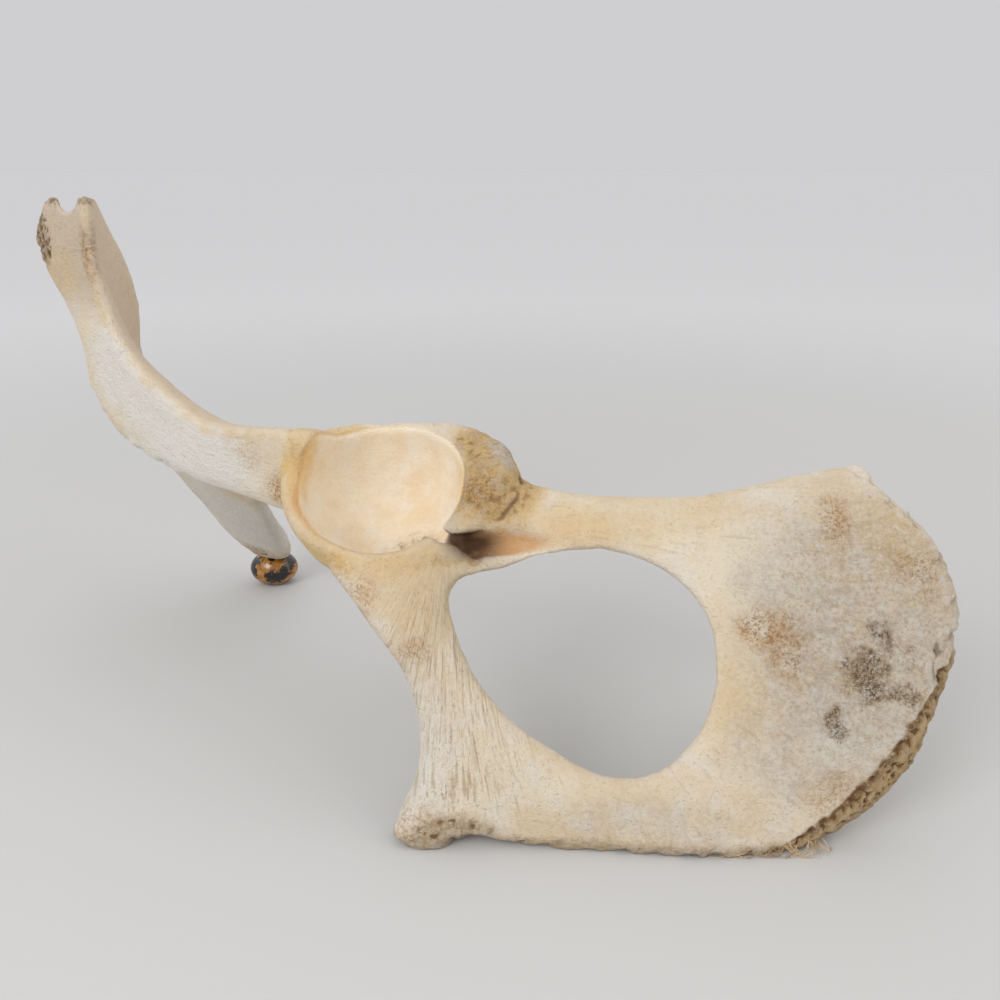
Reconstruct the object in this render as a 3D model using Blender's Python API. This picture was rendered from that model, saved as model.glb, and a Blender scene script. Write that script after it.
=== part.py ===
"""Left half of a cow's pelvis: the weathered hip bone, standing on its pelvic seam.

The bone is one piece. Its seam, where the two halves of the pelvis once met, stands on the floor
along X. Tail is towards +X, head towards -X, the belly side faces -Y and the animal's outer side is
up. The wing of the ilium reaches back and up to the left, and its lower corner rests on a pebble.
Sizes are in millimetres, turned into metres where a mesh is made.
"""

import math

import bmesh
import bpy
import numpy as np

# Driving sizes
MM = 0.001
SOCKET_RADIUS = 34.5
SOCKET_CENTRE = np.array((-50.0, 85.0, 122.5))
SOCKET_AXIS = np.array((0.04, -0.495, 0.868))
SOCKET_FLOOR = 43.0
TIP_NOTCH_FLOOR = np.array((-203.4, 172.0, 231.5))
TIP_NOTCH_WIDTH = 11.0
TIP_NOTCH_COURSE = np.array((-0.41, 1.0, -0.33))
PLATE_LEAN = 0.15
PLATE_BOW = 0.0033
WINDOW_CENTRE = np.array((31.0, 68.0))
PEBBLE_HEIGHT = 21.0
PEBBLE_GAP = 0.3
PEBBLE_CENTRE = np.array((-143.0, 268.0, 10.5))
PEBBLE_SIZE = np.array((30.0, 25.0, 22.5))

# Mesh fineness, and the sides of the cubes that cut the flats
VOXEL = 1.9
SOFTENING_ROUNDS = 7
RIM_SOFTENING_ROUNDS = 3
BONE_TRIANGLES = 9000
LOOP_STEPS = 28
RING_STEPS = 132
CUT_REACH = 700.0
PEBBLE_BLOCK = 110.0

# The plate round the obturator window: x, z, thickness, and how far the back edge reaches out past
# the front one, going round from the foot of the pubis. The seam is on the floor, then come the tail
# border, the corner of the seat bone, the lesser notch, the stretch that runs inside the socket's
# body, and the front border of the pubis.
OUTER_BORDER = (
    (-42, 7, 15, 0),
    (-39, -3, 21, 0),
    (-26, -5, 22, 0),
    (-12, 1, 21, 0),
    (0, 1, 21, 0),
    (23, -4, 21, 0),
    (60, -5, 21, 0),
    (98, -4, 20, 4),
    (122, 3, 19, 8),
    (141, 15, 20, 12),
    (157, 31, 22, 13),
    (169, 50, 22, 6),
    (179, 68, 20, 3),
    (184, 85, 15, 0),
    (180, 103, 15, 0),
    (170, 117, 17, 0),
    (162, 125, 22, 0),
    (155, 130, 26, 0),
    (139, 128, 25, 0),
    (116, 126, 18, 0),
    (90, 122, 15, 0),
    (60, 121, 16, 0),
    (30, 121, 20, 0),
    (5, 122, 24, 0),
    (-25, 119, 28, 0),
    (-50, 112, 24, 0),
    (-71, 101, 18, 0),
    (-61, 88, 22, 0),
    (-50, 75, 23, 0),
    (-40, 64, 23, 0),
    (-34.5, 51, 22, 0),
    (-32, 38, 20, 0),
    (-33.5, 24, 18, 0),
)
WINDOW_BORDER = (
    (-20, 86, 18),
    (-16, 93, 17),
    (-7, 95, 17),
    (3, 96.5, 16),
    (12, 100, 13),
    (24, 102, 11),
    (40, 103, 10),
    (56, 100, 9),
    (69, 94, 7),
    (78, 85, 6),
    (82, 74, 5),
    (82, 62, 5),
    (78, 49, 6),
    (70, 38, 7),
    (59, 30, 8),
    (46, 27, 9),
    (33, 30, 10),
    (22, 36, 11),
    (11, 42, 13),
    (0, 50, 16),
    (-9, 60, 18),
    (-16, 72, 19),
)
WAIST_SHARE = 0.62

# Socket rim by bearing round its axis, from +X towards the top: outer radius and height of the lip
SOCKET_RIM = (
    (-180, 43.5, 1.0),
    (-150, 41.0, 0.5),
    (-120, 40.0, 0.0),
    (-90, 39.5, 0.0),
    (-68, 41.0, 1.5),
    (-54, 44.5, 4.0),
    (-47, 40.0, -1.0),
    (-38, 45.0, 2.5),
    (-20, 56.0, 8.0),
    (0, 61.0, 11.0),
    (20, 59.0, 11.5),
    (45, 50.0, 8.5),
    (70, 42.0, 4.0),
    (95, 40.0, 1.0),
    (125, 43.5, 1.5),
    (150, 46.0, 3.0),
    (180, 43.5, 1.0),
)

# Bar of the ilium: the upper and lower edge of its belly face, and its depth
ILIUM_BAR = (
    ((-62, 84, 138), (-66, 82, 104), 26),
    ((-84, 88, 145), (-88, 90, 105), 26),
    ((-112, 106, 143), (-113, 106, 108), 19),
    ((-134, 121, 141), (-148, 131, 110), 22),
    ((-149, 132, 147), (-174, 149, 116), 20),
    ((-166, 143, 158), (-195, 163, 128), 18),
    ((-180, 153, 171), (-206, 171, 144), 15),
    ((-187, 158, 186), (-209, 174, 165), 13),
    ((-191, 161, 200), (-217, 180, 186), 11),
    ((-192, 162, 210), (-228, 188, 202), 10),
    ((-192, 162, 222), (-232, 190, 220), 10),
    ((-192, 163, 231), (-226, 187, 231), 10),
    ((-193, 164, 239), (-222, 186, 239), 10),
)
# Section of the bar: across it towards the upper edge, and back from its belly face. The upper edge
# of that face is a crisp ridge.
BAR_SECTION = (
    (1.0, -1.0),
    (0.3, -1.03),
    (-0.5, -1.0),
    (-0.95, -0.8),
    (-1.0, -0.2),
    (-0.75, 0.6),
    (-0.1, 1.0),
    (0.45, 1.0),
    (0.8, 0.5),
    (0.93, -0.2),
)

# Wing plate: the edge at the bar or the greater notch, the crest, the bow towards the head, and the
# thickness at the bar, in the middle and at the crest
ILIUM_WING = (
    ((-197, 170, 237), (-218, 228, 236), 1, 10, 9, 11),
    ((-197, 170, 220), (-212, 231, 220), 3, 11, 9, 11),
    ((-195, 169, 200), (-204, 235, 200), 6, 12, 8, 11),
    ((-190, 166, 180), (-201, 239, 178), 9, 13, 7, 11),
    ((-174, 157, 158), (-205, 243, 155), 11, 13, 7, 11),
    ((-150, 145, 137), (-204, 248, 128), 12, 14, 7, 11),
    ((-128, 136, 122), (-202, 253, 103), 11, 13, 7, 11),
    ((-119, 148, 104), (-189, 258, 77), 9, 10, 7, 11),
    ((-122, 175, 85), (-177, 262, 57), 6, 9, 8, 12),
    ((-126, 214, 59), (-164, 265, 37), 3, 10, 10, 14),
    ((-128, 248, 34), (-153, 268, 24), 1, 14, 14, 15),
    ((-131, 261, 16), (-150, 269, 14), 0, 14, 15, 14),
)

# Spine over the socket: foot and crest of each section, and its thickness
SOCKET_SPINE = (
    ((-120, 112, 122), (-122, 122, 118), 14),
    ((-98, 108, 120), (-100, 134, 113), 13),
    ((-72, 108, 118), (-73, 146, 110), 11),
    ((-45, 106, 116), (-44, 152, 108), 10),
    ((-18, 98, 114), (-16, 146, 104), 10),
    ((6, 88, 112), (8, 128, 101), 11),
    ((30, 80, 112), (32, 104, 103), 11),
    ((54, 76, 112), (56, 86, 108), 9),
)

# Body of the seat bone between socket and plate: middle, half height and half depth
ISCHIUM_BAR = (
    ((-24, 94, 111), 14, 15),
    ((-4, 92, 111), 12, 16),
    ((14, 84, 112), 11, 14),
    ((34, 77, 112), 9, 12),
    ((58, 74, 112), 7, 9),
    ((80, 72, 112), 4, 5),
)

# Lobe that hangs over the groove, as swellings on the socket's tail side: middle and radii
SOCKET_LOBE = (
    ((-3, 85, 118), (14, 15, 17)),
    ((-12, 71, 114), (9, 9, 8)),
    ((-17, 68, 111), (6, 7, 6)),
)

# Groove from the socket's pit, through a gap in its rim and out under the lobe: middle and radius.
# The slit opens that gap through the rim's front edge.
SOCKET_GROOVE = (
    ((-43, 85, 99), 12),
    ((-33, 74, 101), 8.5),
    ((-22, 65, 102.5), 6),
    ((-11, 61, 105), 5.6),
    ((1, 59, 107), 5.6),
    ((13, 57.5, 107.5), 4.5),
    ((27, 55, 108), 3),
)
RIM_SLIT = (
    ((-38, 78, 106), 4.5),
    ((-27, 65, 107), 3.4),
    ((-19, 56, 108.5), 3.2),
    ((-9, 46, 110.5), 3.4),
)


def unit(v):
    return v / np.linalg.norm(v)


def front_depth(x, z):
    """Depth of the plate's belly face over the floor line, bowed away as it rises."""
    level = np.maximum(z, 0.0)
    keel = -5.0 * np.exp(-(((x - 80.0) / 32.0) ** 2) - (level / 34.0) ** 2)
    return PLATE_LEAN * level + PLATE_BOW * level**2 + keel + 3.0


def spline(points, steps, closed=False):
    """Catmull-Rom curve through rows of numbers, with the given steps to each span."""
    rows = np.array(points, float)
    if closed:
        rows = np.vstack([rows[-1], rows, rows[:2]])
    else:
        rows = np.vstack([2 * rows[0] - rows[1], rows, 2 * rows[-1] - rows[-2]])
    t = np.linspace(0.0, 1.0, steps, endpoint=False)[:, None]
    spans = []
    for a, b, c, d in zip(rows[:-3], rows[1:-2], rows[2:-1], rows[3:]):
        spans.append(
            0.5 * (2 * b + (c - a) * t + (2 * a - 5 * b + 4 * c - d) * t**2
                   + (3 * b - a - 3 * c + d) * t**3)
        )
    made = np.vstack(spans)
    return made if closed else np.vstack([made, rows[-2]])


def mesh_object(name, vertices, faces):
    mesh = bpy.data.meshes.new(name)
    mesh.from_pydata([tuple(v * MM) for v in vertices], [], faces)
    mesh.validate()
    obj = bpy.data.objects.new(name, mesh)
    bpy.context.scene.collection.objects.link(obj)
    bm = bmesh.new()
    bm.from_mesh(mesh)
    bmesh.ops.recalc_face_normals(bm, faces=bm.faces)
    if bm.calc_volume(signed=True) < 0:
        bmesh.ops.reverse_faces(bm, faces=bm.faces)
    bm.to_mesh(mesh)
    bm.free()
    return obj


def skin_loops(name, loops, ring=False):
    """A closed body through loops of points, capped at both ends unless it closes on itself."""
    count, around = len(loops), len(loops[0])
    vertices = [p for loop in loops for p in loop]
    faces = []
    for i in range(count if ring else count - 1):
        near, far = i * around, ((i + 1) % count) * around
        for j in range(around):
            k = (j + 1) % around
            faces.append((near + j, near + k, far + k, far + j))
    if not ring:
        for start, loop in ((0, loops[0]), ((count - 1) * around, loops[-1])):
            hub = len(vertices)
            vertices.append(np.mean(loop, axis=0))
            faces += [(start + j, start + (j + 1) % around, hub) for j in range(around)]
    return mesh_object(name, vertices, faces)


def edge_rounding(distance, radius):
    """Share of the full thickness at a distance from an edge that is rounded off."""
    inside = np.clip(distance / np.maximum(radius, 1e-6), 0.0, 1.0)
    return np.sqrt(1.0 - (1.0 - inside) ** 2)


def plate_loops(middles, normals, thickness):
    """Loops round a plate: along one face, then back along the other."""
    half = normals * (thickness / 2)[..., None]
    return [
        np.vstack([m + h, (m - h)[::-1][1:-1]]) for m, h in zip(middles, half)
    ]


def at_bearings(border, bearings):
    """The border's columns at bearings round the window's centre."""
    rows = spline(border, 24, closed=True)
    found = np.arctan2(rows[:, 1] - WINDOW_CENTRE[1], rows[:, 0] - WINDOW_CENTRE[0])
    order = np.argsort(found)
    return np.stack(
        [np.interp(bearings, found[order], rows[order, i], period=2 * math.pi)
         for i in range(rows.shape[1])],
        axis=1,
    )


def pelvic_plate():
    """Pubis, seam and ischium as one ring round the obturator window."""
    bearings = np.linspace(-math.pi, math.pi, RING_STEPS, endpoint=False)
    inner = at_bearings(WINDOW_BORDER, bearings)
    outer = at_bearings(OUTER_BORDER, bearings)
    across = 0.5 - 0.5 * np.cos(np.linspace(0.0, math.pi, LOOP_STEPS))
    loops = []
    for i, o in zip(inner, outer):
        rows = i + (o[:3] - i) * across[:, None]
        width = np.linalg.norm(o[:2] - i[:2])
        distance = across * width
        waist = 1.0 - (1.0 - WAIST_SHARE) * np.sin(math.pi * across) ** 2 * min(1.0, width / 90.0)
        thick = rows[:, 2] * waist
        thick = thick * edge_rounding(distance, 0.6 * i[2])
        thick = thick * edge_rounding(width - distance, 0.4 * o[2])
        full = rows[:, 2] * waist
        front = front_depth(rows[:, 0], rows[:, 1])
        middles = np.stack([rows[:, 0], front + full / 2, rows[:, 1]], axis=1)
        outward = (o[:2] - i[:2]) / width
        reach = o[3] * np.clip(1 - (width - distance) / (1.5 * o[2]), 0.0, 1.0)
        half = thick / 2
        near, away = middles.copy(), middles.copy()
        near[:, 1] -= half
        away[:, 1] += half
        for face, offset in ((near, -half), (away, half)):
            share = 0.5 + offset / full
            face[:, 0] += outward[0] * reach * share
            face[:, 2] += outward[1] * reach * share
        loops.append(np.vstack([near, away[::-1][1:-1]]))
    return skin_loops("pelvic_plate", loops, ring=True)


def ilium_wing():
    rows = spline(
        [[*a, *b, bow, t0, t1, t2] for a, b, bow, t0, t1, t2 in ILIUM_WING], 5
    )
    across = np.linspace(0.0, 1.0, LOOP_STEPS)[:, None]
    middles, thickness = [], []
    for r in rows:
        chord = r[3:6] - r[0:3]
        bow_way = unit(np.cross(chord, (0.0, 0.35, 1.0)))
        bow_way = bow_way if bow_way[0] < 0 else -bow_way
        line = r[0:3] + chord * across + bow_way * r[6] * 4 * across * (1 - across)
        middles.append(line)
        s = across[:, 0]
        thick = np.where(
            s < 0.5, r[7] + (r[8] - r[7]) * (s * 2), r[8] + (r[9] - r[8]) * (s * 2 - 1)
        )
        width = np.linalg.norm(chord)
        thick = thick * edge_rounding(s * width, 0.5 * r[7])
        thick = thick * edge_rounding((1 - s) * width, 0.5 * r[9])
        thickness.append(thick)
    middles, thickness = np.array(middles), np.array(thickness)
    normals = np.cross(np.gradient(middles, axis=0), np.gradient(middles, axis=1))
    normals /= np.linalg.norm(normals, axis=2)[..., None]
    return skin_loops("ilium_wing", plate_loops(middles, normals, thickness))


def oval_loops(rows, squareness):
    """Oval sections: each row has a middle, a half-width vector and a half-depth vector."""
    turn = np.linspace(0.0, 2 * math.pi, LOOP_STEPS, endpoint=False)
    c = np.sign(np.cos(turn)) * np.abs(np.cos(turn)) ** (2 / squareness)
    s = np.sign(np.sin(turn)) * np.abs(np.sin(turn)) ** (2 / squareness)
    return [r[0:3] + c[:, None] * r[3:6] + s[:, None] * r[6:9] for r in rows]


def ilium_bar():
    tops = np.array([row[0] for row in ILIUM_BAR], float)
    feet = np.array([row[1] for row in ILIUM_BAR], float)
    depth = np.array([row[2] for row in ILIUM_BAR], float)[:, None]
    middle = (tops + feet) / 2
    along = np.gradient(middle, axis=0)
    back = np.cross(along, tops - feet)
    back /= np.linalg.norm(back, axis=1)[:, None]
    back *= np.where(back[:, 1:2] < 0, -1.0, 1.0)
    rows = np.hstack([middle + back * depth / 2, (tops - feet) / 2, back * depth / 2])
    section = spline(BAR_SECTION, 3, closed=True)
    loops = [
        r[0:3] + section[:, :1] * r[3:6] + section[:, 1:] * r[6:9]
        for r in spline(rows, 5)
    ]
    return skin_loops("ilium_bar", loops)


def socket_spine():
    rows = []
    for foot, crest, thick in SOCKET_SPINE:
        foot, crest = np.array(foot, float), np.array(crest, float)
        side = unit(np.cross((1.0, 0.0, 0.0), crest - foot)) * thick / 2
        rows.append(np.hstack([(foot + crest) / 2, (crest - foot) / 2, side]))
    return skin_loops("socket_spine", oval_loops(spline(rows, 5), 2.2))


def ischium_bar():
    """An oval bar from the socket into the plate, leaning as the plate leans."""
    rows = []
    for middle, half_height, half_depth in ISCHIUM_BAR:
        lean = PLATE_LEAN + 2 * PLATE_BOW * middle[2]
        up = unit(np.array((0.0, lean, 1.0)))
        away = np.cross(up, (1.0, 0.0, 0.0))
        rows.append(np.hstack([middle, up * half_height, away * half_depth]))
    return skin_loops("ischium_bar", oval_loops(spline(rows, 6), 2.0))


def socket_frame():
    """The socket's axis, and the directions towards bearing 0 and bearing 90 round it."""
    axis = unit(SOCKET_AXIS)
    east = unit(np.array((1.0, 0.0, 0.0)) - axis * axis[0])
    return axis, east, np.cross(axis, east)


def socket_body():
    """The cup's outer body, turned about the socket's axis, with a lip that varies round it."""
    axis, east, north = socket_frame()
    rim = np.array(SOCKET_RIM, float)
    loops = []
    for bearing in np.arange(-180.0, 180.0, 3.0):
        outer = np.interp(bearing, rim[:, 0], rim[:, 1])
        lip = np.interp(bearing, rim[:, 0], rim[:, 2])
        width = outer - SOCKET_RADIUS
        turn = np.radians(np.linspace(12.0, 90.0, 10))
        profile = [(outer * math.sin(a), -SOCKET_FLOOR * math.cos(a)) for a in turn]
        profile += [
            (outer - 0.12 * width, 0.7 * lip),
            (outer - 0.45 * width, lip),
            (SOCKET_RADIUS + 0.1 * width, 0.8 * lip),
            (SOCKET_RADIUS - 6.0, 0.5 * lip),
        ]
        angle = math.radians(bearing)
        out = east * math.cos(angle) + north * math.sin(angle)
        loops.append([SOCKET_CENTRE + out * r + axis * h for r, h in profile])
    turned = [np.array(ring) for ring in zip(*loops)]
    return skin_loops("socket_body", turned)


def socket_lobe():
    return [
        ball("socket_lobe", np.array(middle, float), np.array(radii, float))
        for middle, radii in SOCKET_LOBE
    ]


def ball(name, centre, radii, rings=24):
    """An ellipsoid made of level rings."""
    loops = []
    for a in np.linspace(math.pi * 0.03, math.pi * 0.97, rings):
        turn = np.linspace(0.0, 2 * math.pi, 2 * rings, endpoint=False)
        ring = np.stack(
            [np.sin(a) * np.cos(turn), np.sin(a) * np.sin(turn), np.full_like(turn, np.cos(a))],
            axis=1,
        )
        loops.append(centre + ring * radii)
    return skin_loops(name, loops)


def channel(name, course):
    """A round channel along a course of middles, each with its radius."""
    rows = spline([[*p, r] for p, r in course], 6)
    along = np.gradient(rows[:, :3], axis=0)
    turn = np.linspace(0.0, 2 * math.pi, 20, endpoint=False)
    loops = []
    for r, way in zip(rows, along):
        side = unit(np.cross(way, (0.0, 0.0, 1.0)))
        up = unit(np.cross(side, way))
        loops.append(
            [r[:3] + r[3] * (math.cos(a) * side + math.sin(a) * up) for a in turn]
        )
    return skin_loops(name, loops)


def tip_notch():
    """A round-bottomed channel through the broken tip, falling away from the belly side."""
    half_height = np.array((0.0, 0.0, 2 * TIP_NOTCH_WIDTH))
    rows = []
    for back in (-30.0, 40.0):
        middle = TIP_NOTCH_FLOOR + half_height + TIP_NOTCH_COURSE * back
        rows.append(np.hstack([middle, (TIP_NOTCH_WIDTH / 2, 0, 0), half_height]))
    return skin_loops("tip_notch", oval_loops(rows, 3.0))


def settle(obj):
    """Applies an object's modifiers."""
    graph = bpy.context.evaluated_depsgraph_get()
    mesh = bpy.data.meshes.new_from_object(obj.evaluated_get(graph))
    obj.modifiers.clear()
    old = obj.data
    obj.data = mesh
    bpy.data.meshes.remove(old)
    mesh.name = obj.name


def fuse(name, pieces):
    """Joins overlapping bodies into one skin and eases the creases between them."""
    merged = bmesh.new()
    for piece in pieces:
        merged.from_mesh(piece.data)
        bpy.data.objects.remove(piece)
    mesh = bpy.data.meshes.new(name)
    merged.to_mesh(mesh)
    merged.free()
    obj = bpy.data.objects.new(name, mesh)
    bpy.context.scene.collection.objects.link(obj)
    remake_skin(obj)
    soften(obj, SOFTENING_ROUNDS)
    return obj


def remake_skin(obj):
    """Makes one even skin round all that the object holds."""
    remesh = obj.modifiers.new("one_skin", "REMESH")
    remesh.mode = "VOXEL"
    remesh.voxel_size = VOXEL * MM
    settle(obj)


def soften(obj, rounds):
    smooth = obj.modifiers.new("soften", "SMOOTH")
    smooth.factor = 0.5
    smooth.iterations = rounds
    settle(obj)


def cut(obj, cutters):
    """Takes each cutter out of the body, then removes the cutter."""
    for cutter in cutters:
        difference = obj.modifiers.new(cutter.name, "BOOLEAN")
        difference.operation = "DIFFERENCE"
        difference.solver = "EXACT"
        difference.object = cutter
        settle(obj)
        bpy.data.objects.remove(cutter)


def cutting_block(name, centre, side):
    """A plain cube round a centre, big enough to cut off all that it meets."""
    corners = [
        np.array(centre) + np.array((i, j, k)) * side / 2
        for i in (-1, 1) for j in (-1, 1) for k in (-1, 1)
    ]
    faces = [(0, 1, 3, 2), (4, 6, 7, 5), (0, 4, 5, 1), (2, 3, 7, 6), (0, 2, 6, 4), (1, 5, 7, 3)]
    return mesh_object(name, corners, faces)


def pebble_block(name, level, below):
    """A cube over or under a level at the pebble, as wide as the space round it allows."""
    height = level + PEBBLE_BLOCK / 2 * (-1 if below else 1)
    return cutting_block(name, (*PEBBLE_CENTRE[:2], height), PEBBLE_BLOCK)


def largest_body(obj):
    """Keeps the largest closed surface and drops loose scraps."""
    bm = bmesh.new()
    bm.from_mesh(obj.data)
    bm.verts.ensure_lookup_table()
    seen, groups = set(), []
    for start in bm.verts:
        if start in seen:
            continue
        seen.add(start)
        group, front = [start], [start]
        while front:
            vertex = front.pop()
            for edge in vertex.link_edges:
                other = edge.other_vert(vertex)
                if other not in seen:
                    seen.add(other)
                    group.append(other)
                    front.append(other)
        groups.append(group)
    groups.sort(key=len, reverse=True)
    for group in groups[1:]:
        bmesh.ops.delete(bm, geom=group, context="VERTS")
    bm.to_mesh(obj.data)
    bm.free()


def thin_out(obj, triangles):
    """Lowers the count of triangles, keeping them where the form turns."""
    bm = bmesh.new()
    bm.from_mesh(obj.data)
    bmesh.ops.triangulate(bm, faces=bm.faces)
    now = len(bm.faces)
    bm.to_mesh(obj.data)
    bm.free()
    decimate = obj.modifiers.new("thin_out", "DECIMATE")
    decimate.ratio = min(1.0, triangles / now)
    settle(obj)


def hip_bone():
    bone = fuse(
        "hip_bone",
        [
            pelvic_plate(),
            ilium_wing(),
            ilium_bar(),
            socket_spine(),
            socket_body(),
            ischium_bar(),
            *socket_lobe(),
        ],
    )
    cup = ball("cup", SOCKET_CENTRE, np.full(3, SOCKET_RADIUS), rings=40)
    cut(bone, [cup, channel("groove", SOCKET_GROOVE), channel("rim_slit", RIM_SLIT)])
    remake_skin(bone)
    soften(bone, RIM_SOFTENING_ROUNDS)
    largest_body(bone)
    thin_out(bone, BONE_TRIANGLES)
    cut(
        bone,
        [
            tip_notch(),
            cutting_block("floor_cut", (0, 100, -CUT_REACH / 2), CUT_REACH),
            pebble_block("pebble_cut", PEBBLE_HEIGHT + PEBBLE_GAP, below=True),
        ],
    )
    largest_body(bone)
    return bone


def foot_pebble():
    """The tumbled stone under the lower corner of the wing, with a small flat above and below."""
    pebble = ball("foot_pebble", PEBBLE_CENTRE, PEBBLE_SIZE / 2, rings=13)
    cut(
        pebble,
        [
            pebble_block("top_cut", PEBBLE_HEIGHT, below=False),
            pebble_block("base_cut", 0.0, below=True),
        ],
    )
    return pebble


def finish(obj, name, colour, roughness):
    material = bpy.data.materials.new(name)
    material.use_nodes = True
    shader = material.node_tree.nodes["Principled BSDF"]
    shader.inputs["Base Color"].default_value = (*colour, 1.0)
    shader.inputs["Roughness"].default_value = roughness
    shader.inputs["Metallic"].default_value = 0.0
    material.diffuse_color = (*colour, 1.0)
    obj.data.materials.clear()
    obj.data.materials.append(material)
    obj.data.shade_smooth()
    obj.data.set_sharp_from_angle(angle=math.radians(40))


def centre_on_floor(objects):
    """Moves the model so that its origin is under the middle of its box, on the floor."""
    points = np.array([v.co for o in objects for v in o.data.vertices])
    low, high = points.min(axis=0), points.max(axis=0)
    shift = -np.array(((low[0] + high[0]) / 2, (low[1] + high[1]) / 2, low[2]))
    for o in objects:
        for v in o.data.vertices:
            v.co = np.array(v.co) + shift
    print("origin moved by", shift.round(5), "box", (high - low).round(4))


def main():
    for obj in list(bpy.data.objects):
        bpy.data.objects.remove(obj)
    bone = hip_bone()
    pebble = foot_pebble()
    finish(bone, "weathered_bone", (0.78, 0.70, 0.56), 0.75)
    finish(pebble, "tumbled_stone", (0.55, 0.36, 0.14), 0.3)
    centre_on_floor([bone, pebble])


main()
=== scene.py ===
# Weathered left hip bone of a cow, with a tumbled pebble under the corner of its wing.
import math

import bpy
import numpy as np
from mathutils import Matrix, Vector


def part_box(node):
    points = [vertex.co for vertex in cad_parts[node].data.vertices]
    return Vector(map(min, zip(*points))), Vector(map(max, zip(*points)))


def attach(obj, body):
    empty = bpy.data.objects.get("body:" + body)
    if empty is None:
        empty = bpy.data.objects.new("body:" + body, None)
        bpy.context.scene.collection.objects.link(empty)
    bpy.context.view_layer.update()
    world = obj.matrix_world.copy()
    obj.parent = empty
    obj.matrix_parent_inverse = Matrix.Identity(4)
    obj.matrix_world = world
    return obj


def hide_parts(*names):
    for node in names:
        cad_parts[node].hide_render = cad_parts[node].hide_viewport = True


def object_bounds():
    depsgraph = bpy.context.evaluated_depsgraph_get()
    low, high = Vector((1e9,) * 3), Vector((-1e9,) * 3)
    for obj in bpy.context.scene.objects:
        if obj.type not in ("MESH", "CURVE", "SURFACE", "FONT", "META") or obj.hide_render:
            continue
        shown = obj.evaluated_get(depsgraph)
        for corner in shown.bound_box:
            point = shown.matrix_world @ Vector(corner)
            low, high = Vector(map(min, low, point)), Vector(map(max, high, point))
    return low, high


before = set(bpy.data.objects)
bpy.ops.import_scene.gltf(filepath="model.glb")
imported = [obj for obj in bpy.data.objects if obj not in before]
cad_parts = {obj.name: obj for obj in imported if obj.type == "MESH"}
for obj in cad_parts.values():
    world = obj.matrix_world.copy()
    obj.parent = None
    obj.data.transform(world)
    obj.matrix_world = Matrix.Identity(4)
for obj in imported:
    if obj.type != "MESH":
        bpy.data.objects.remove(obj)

cadBox = [[float(v) for v in corner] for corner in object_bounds()]
print("frame loaded:", sorted(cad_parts))

# Places on the bone are in millimetres from the foot of the seam: +X tail, +Y back, +Z up.
# seamFoot is where that point lies in the frame, in metres.
seamFoot = np.array((0.0234, -0.13963, 0.0))
scene = bpy.context.scene


def toMetres(placeMm):
    return np.asarray(placeMm, float) * 0.001 + seamFoot


# Fields in space

def hashCells(cells, seed):
    # a number from 0 to 1 for each cell, the same on every run
    n = cells[..., 0] * 374761393 + cells[..., 1] * 668265263 + cells[..., 2] * 974634777
    n = (n + seed * 1446653) & 0xFFFFFFFF
    n = ((n ^ (n >> 13)) * 1274126177) & 0xFFFFFFFF
    n = ((n ^ (n >> 16)) * 461845907) & 0xFFFFFFFF
    return (n ^ (n >> 15)).astype(float) / 0xFFFFFFFF


def smoothNoise(points, cell, seed):
    # soft noise from -1 to 1 with lumps one cell wide
    q = points / cell
    base = np.floor(q).astype(np.int64)
    f = q - base
    f = f * f * (3 - 2 * f)
    total = np.zeros(len(points))
    for dx in (0, 1):
        for dy in (0, 1):
            for dz in (0, 1):
                weight = (
                    (f[:, 0] if dx else 1 - f[:, 0])
                    * (f[:, 1] if dy else 1 - f[:, 1])
                    * (f[:, 2] if dz else 1 - f[:, 2])
                )
                total += weight * hashCells(base + np.array((dx, dy, dz)), seed)
    return total * 2 - 1


def layeredNoise(points, cell, layers, seed):
    # soft noise with finer and fainter noise on it
    total, size, height = np.zeros(len(points)), cell, 1.0
    for layer in range(layers):
        total += height * smoothNoise(points, size, seed + layer)
        size, height = size / 2, height / 2
    return total / (2 - 2 / 2**layers)


def nearestSeed(points, cell, seed):
    # distances to the two nearest scattered seeds, in cells, and the nearest one's own number
    q = points / cell
    base = np.floor(q).astype(np.int64)
    best, second = np.full(len(points), 9.0), np.full(len(points), 9.0)
    own = np.zeros(len(points))
    for dx in (-1, 0, 1):
        for dy in (-1, 0, 1):
            for dz in (-1, 0, 1):
                near = base + np.array((dx, dy, dz))
                spot = near + np.stack([hashCells(near, seed + k) for k in (1, 2, 3)], axis=1)
                gap = np.linalg.norm(q - spot, axis=1)
                closer = gap < best
                second = np.where(closer, best, np.minimum(second, gap))
                best = np.where(closer, gap, best)
                own = np.where(closer, hashCells(near, seed + 4), own)
    return best, second, own


def pits(points, cell, radius, share, seed):
    # round pits from 0 to 1 deep; share is how many of the seeds make one
    gap, _, own = nearestSeed(points, cell, seed)
    size = radius / cell * (0.6 + 0.8 * own / max(share, 0.01))
    return np.where(own < share, np.clip(1 - (gap / size) ** 2, 0, 1), 0.0)


def spongeHoles(points, cell, seed):
    # holes from 0 to 1 deep between the thin struts of spongy bone
    warp = np.stack([smoothNoise(points, cell * 1.6, seed + 7 + k) for k in range(3)], axis=1)
    best, second, own = nearestSeed(points + warp * cell * 0.45, cell, seed)
    return ramp(second - best, 0.06, 0.42) * (0.35 + 0.65 * own)


def ramp(values, low, high):
    t = np.clip((values - low) / (high - low), 0, 1)
    return t * t * (3 - 2 * t)


def band(values, start, full, ease, end):
    # 0 up to start, 1 from full to ease, and 0 again past end
    return ramp(values, start, full) * (1 - ramp(values, ease, end))


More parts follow.
